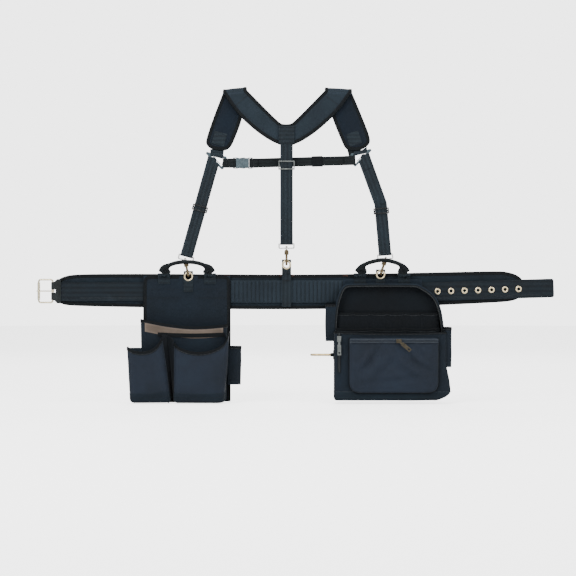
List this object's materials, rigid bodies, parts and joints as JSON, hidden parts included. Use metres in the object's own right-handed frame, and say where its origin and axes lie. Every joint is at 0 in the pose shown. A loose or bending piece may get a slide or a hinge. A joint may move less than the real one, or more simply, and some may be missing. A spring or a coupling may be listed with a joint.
{
  "type": "tool belt",
  "caption": "Padded carpenter's tool belt with roller buckle, two slide-on tool pouches with carrying handles, and a padded shoulder harness clipped on by snap hooks.",
  "frame": {"origin": "The middle of the belt, on the face of the lumbar pad that rests against the wearer's back.", "axes": "+X runs along the belt towards its free end, +Y points into the wearer, +Z is the wearer's up; the outside of the pouches faces -Y. The belt is laid out flat and upright."},
  "size_m": [1.4005, 0.1159, 0.8511],
  "materials": {
    "cover_fabric": "heavy woven polyester, matte",
    "pouch_fabric": "coated polyester cloth, low sheen",
    "lining_fabric": "plain woven lining, matte",
    "foam": "open-cell foam, matte",
    "binding": "ribbed edge tape, matte",
    "webbing": "woven strap webbing, low sheen",
    "belt_webbing": "heavy belt webbing, low sheen",
    "chape": "dark coated leather, satin",
    "eyelet_brass": "pale brass, satin",
    "buckle_metal": "pale plated wire, bright",
    "loop_nickel": "nickel plate, bright",
    "hook_brass": "antique brass, satin",
    "clip_plastic": "moulded acetal, satin",
    "slide_metal": "plated steel, satin",
    "slide_plastic": "moulded nylon, satin",
    "zip_tape": "woven tape with metal teeth",
    "zip_metal": "die-cast, satin",
    "zip_antique": "antique plate, satin",
    "holder_brass": "aged brass wire"
  },
  "bodies": {
    "belt": {"pad_cover": "cover_fabric", "pad_foam": "foam", "pad_binding": "binding", "rib_sleeve": "cover_fabric", "centre_tab": "webbing", "centre_grommet": "eyelet_brass", "web_belt": "belt_webbing", "belt_grommets": "eyelet_brass", "buckle_chape": "chape", "yoke_cover": "cover_fabric", "yoke_foam": "foam", "yoke_binding": "binding", "yoke_webs": "webbing", "back_strap": "webbing", "back_hook_loop": "loop_nickel", "shoulder_rings": "clip_plastic", "chest_web_left": "webbing", "chest_web_right": "webbing", "chest_socket": "clip_plastic", "chest_plug": "clip_plastic"},
    "buckle_frame": {"buckle_frame": "buckle_metal"},
    "buckle_roller": {"buckle_roller": "buckle_metal"},
    "buckle_prong": {"buckle_prong": "buckle_metal"},
    "back_slide": {"back_slide": "slide_metal"},
    "back_hook": {"back_hook": "hook_brass"},
    "back_gate": {"back_gate": "hook_brass"},
    "chest_keeper": {"chest_keeper": "binding"},
    "chest_latch_upper": {"chest_latch_upper": "clip_plastic"},
    "chest_latch_lower": {"chest_latch_lower": "clip_plastic"},
    "left_strap": {"left_strap": "webbing", "left_hook_loop": "loop_nickel"},
    "left_adjuster": {"left_adjuster": "slide_plastic"},
    "left_hook": {"left_hook": "hook_brass"},
    "left_gate": {"left_gate": "hook_brass"},
    "right_strap": {"right_strap": "webbing", "right_hook_loop": "loop_nickel"},
    "right_adjuster": {"right_adjuster": "slide_plastic"},
    "right_hook": {"right_hook": "hook_brass"},
    "right_gate": {"right_gate": "hook_brass"},
    "left_pouch": {"left_back_panel": "pouch_fabric", "left_panel_webs": "webbing", "left_grommet": "eyelet_brass", "left_mid_pocket": "pouch_fabric", "left_front_pockets": "pouch_fabric", "left_bar_sleeve": "pouch_fabric"},
    "left_handle": {"left_handle": "webbing"},
    "right_pouch": {"right_back_panel": "pouch_fabric", "right_panel_webs": "webbing", "right_grommet": "eyelet_brass", "bag_shell": "pouch_fabric", "bag_front_pocket": "pouch_fabric", "bag_tool_pockets": "lining_fabric", "bag_side_pockets": "pouch_fabric", "zip_tapes": "zip_tape"},
    "right_handle": {"right_handle": "webbing"},
    "main_zip_slider": {"main_zip_slider": "zip_metal"},
    "main_zip_pull": {"main_zip_pull": "zip_metal"},
    "pocket_zip_slider": {"pocket_zip_slider": "zip_antique"},
    "pocket_zip_pull": {"pocket_zip_pull": "zip_antique"},
    "hammer_loop": {"hammer_loop": "holder_brass"}
  },
  "joints": [
    {"name": "buckle_swing", "type": "hinge", "parent": "belt", "child": "buckle_frame", "pos_m": [-0.633, -0.0159, 0.0027], "axis": [0, 0, 1], "range_deg": [-60, 35]},
    {"name": "buckle_prong_swing", "type": "hinge", "parent": "buckle_frame", "child": "buckle_prong", "pos_m": [-0.633, -0.0159, 0.0027], "axis": [0, 0, 1], "range_deg": [0, 75]},
    {"name": "buckle_roller_spin", "type": "hinge", "parent": "buckle_frame", "child": "buckle_roller", "pos_m": [-0.671, -0.0159, 0.0027], "axis": [0, 0, 1], "continuous": true},
    {"name": "left_pouch_slide", "type": "slide", "parent": "belt", "child": "left_pouch", "axis": [1, 0, 0], "range_m": [-0.015, 0.015]},
    {"name": "right_pouch_slide", "type": "slide", "parent": "belt", "child": "right_pouch", "axis": [1, 0, 0], "range_m": [-0.015, 0.015]},
    {"name": "left_strap_sway", "type": "hinge", "parent": "belt", "child": "left_strap", "pos_m": [-0.198, -0.007, 0.3586], "axis": [0, 1, 0], "range_deg": [-3, 3]},
    {"name": "right_strap_sway", "type": "hinge", "parent": "belt", "child": "right_strap", "pos_m": [0.2095, -0.007, 0.3666], "axis": [0, 1, 0], "range_deg": [-3, 3]},
    {"name": "back_hook_swivel", "type": "hinge", "parent": "belt", "child": "back_hook", "pos_m": [0, -0.0219, 0.074], "axis": [0, 0, 1], "range_deg": [-12, 12]},
    {"name": "back_gate_open", "type": "hinge", "parent": "back_hook", "child": "back_gate", "pos_m": [0, -0.0157, 0.1055], "axis": [-1, 0, 0], "range_deg": [0, 20], "stiffness_Nm_per_rad": 0.03},
    {"name": "left_hook_swivel", "type": "hinge", "parent": "left_strap", "child": "left_hook", "pos_m": [-0.2654, -0.0219, 0.0424], "axis": [-0.1788, 0, 0.9839], "range_deg": [-12, 12]},
    {"name": "left_gate_open", "type": "hinge", "parent": "left_hook", "child": "left_gate", "pos_m": [-0.27103, -0.0157, 0.07339], "axis": [-0.9839, 0, -0.1788], "range_deg": [0, 20], "stiffness_Nm_per_rad": 0.03},
    {"name": "right_hook_swivel", "type": "hinge", "parent": "right_strap", "child": "right_hook", "pos_m": [0.2543, -0.0219, 0.047], "axis": [0.2924, 0, 0.9563], "range_deg": [-12, 12]},
    {"name": "right_gate_open", "type": "hinge", "parent": "right_hook", "child": "right_gate", "pos_m": [0.26351, -0.0157, 0.07712], "axis": [-0.9563, 0, 0.2924], "range_deg": [0, 20], "stiffness_Nm_per_rad": 0.03},
    {"name": "back_slide_travel", "type": "slide", "parent": "belt", "child": "back_slide", "axis": [0, 0, 1], "range_m": [-0.1, 0.04]},
    {"name": "left_adjuster_travel", "type": "slide", "parent": "left_strap", "child": "left_adjuster", "axis": [0.2665, 0.0551, 0.9623], "range_m": [-0.06, 0.06]},
    {"name": "right_adjuster_travel", "type": "slide", "parent": "right_strap", "child": "right_adjuster", "axis": [-0.0818, 0.0545, 0.9952], "range_m": [-0.08, 0]},
    {"name": "chest_keeper_travel", "type": "slide", "parent": "belt", "child": "chest_keeper", "axis": [0.9996, 0, 0.027], "range_m": [-0.1, 0.05]},
    {"name": "chest_latch_upper_press", "type": "hinge", "parent": "belt", "child": "chest_latch_upper", "pos_m": [-0.109, -0.007, 0.3585], "axis": [0, -1, 0], "range_deg": [0, 10], "stiffness_Nm_per_rad": 0.4},
    {"name": "chest_latch_lower_press", "type": "hinge", "parent": "belt", "child": "chest_latch_lower", "pos_m": [-0.109, -0.007, 0.3415], "axis": [0, 1, 0], "range_deg": [0, 10], "stiffness_Nm_per_rad": 0.4},
    {"name": "left_handle_fold", "type": "hinge", "parent": "left_pouch", "child": "left_handle", "pos_m": [-0.269, -0.0266, 0.046], "axis": [1, 0, 0], "range_deg": [0, 70]},
    {"name": "right_handle_fold", "type": "hinge", "parent": "right_pouch", "child": "right_handle", "pos_m": [0.2585, -0.0266, 0.046], "axis": [1, 0, 0], "range_deg": [0, 70]},
    {"name": "main_zip_travel", "type": "slide", "parent": "right_pouch", "child": "main_zip_slider", "axis": [0, 0, 1], "range_m": [-0.06, 0.008]},
    {"name": "main_zip_pull_lift", "type": "hinge", "parent": "main_zip_slider", "child": "main_zip_pull", "pos_m": [0.14, -0.1024, -0.1275], "axis": [-1, 0, 0], "range_deg": [0, 110]},
    {"name": "pocket_zip_travel", "type": "slide", "parent": "right_pouch", "child": "pocket_zip_slider", "axis": [1, 0, 0], "range_m": [-0.12, 0.095]},
    {"name": "pocket_zip_pull_swing", "type": "hinge", "parent": "pocket_zip_slider", "child": "pocket_zip_pull", "pos_m": [0.298, -0.1135, -0.1297], "axis": [0, 1, 0], "range_deg": [-60, 60]},
    {"name": "hammer_loop_swing", "type": "hinge", "parent": "right_pouch", "child": "hammer_loop", "pos_m": [0.121, -0.058, -0.168], "axis": [0, 1, 0], "range_deg": [-85, 15]}
  ],
  "couplings": [
    {"joint": "left_strap_sway", "follows": "left_pouch_slide", "rad_per_m": -3.1626},
    {"joint": "right_strap_sway", "follows": "right_pouch_slide", "rad_per_m": -3.1289}
  ]
}
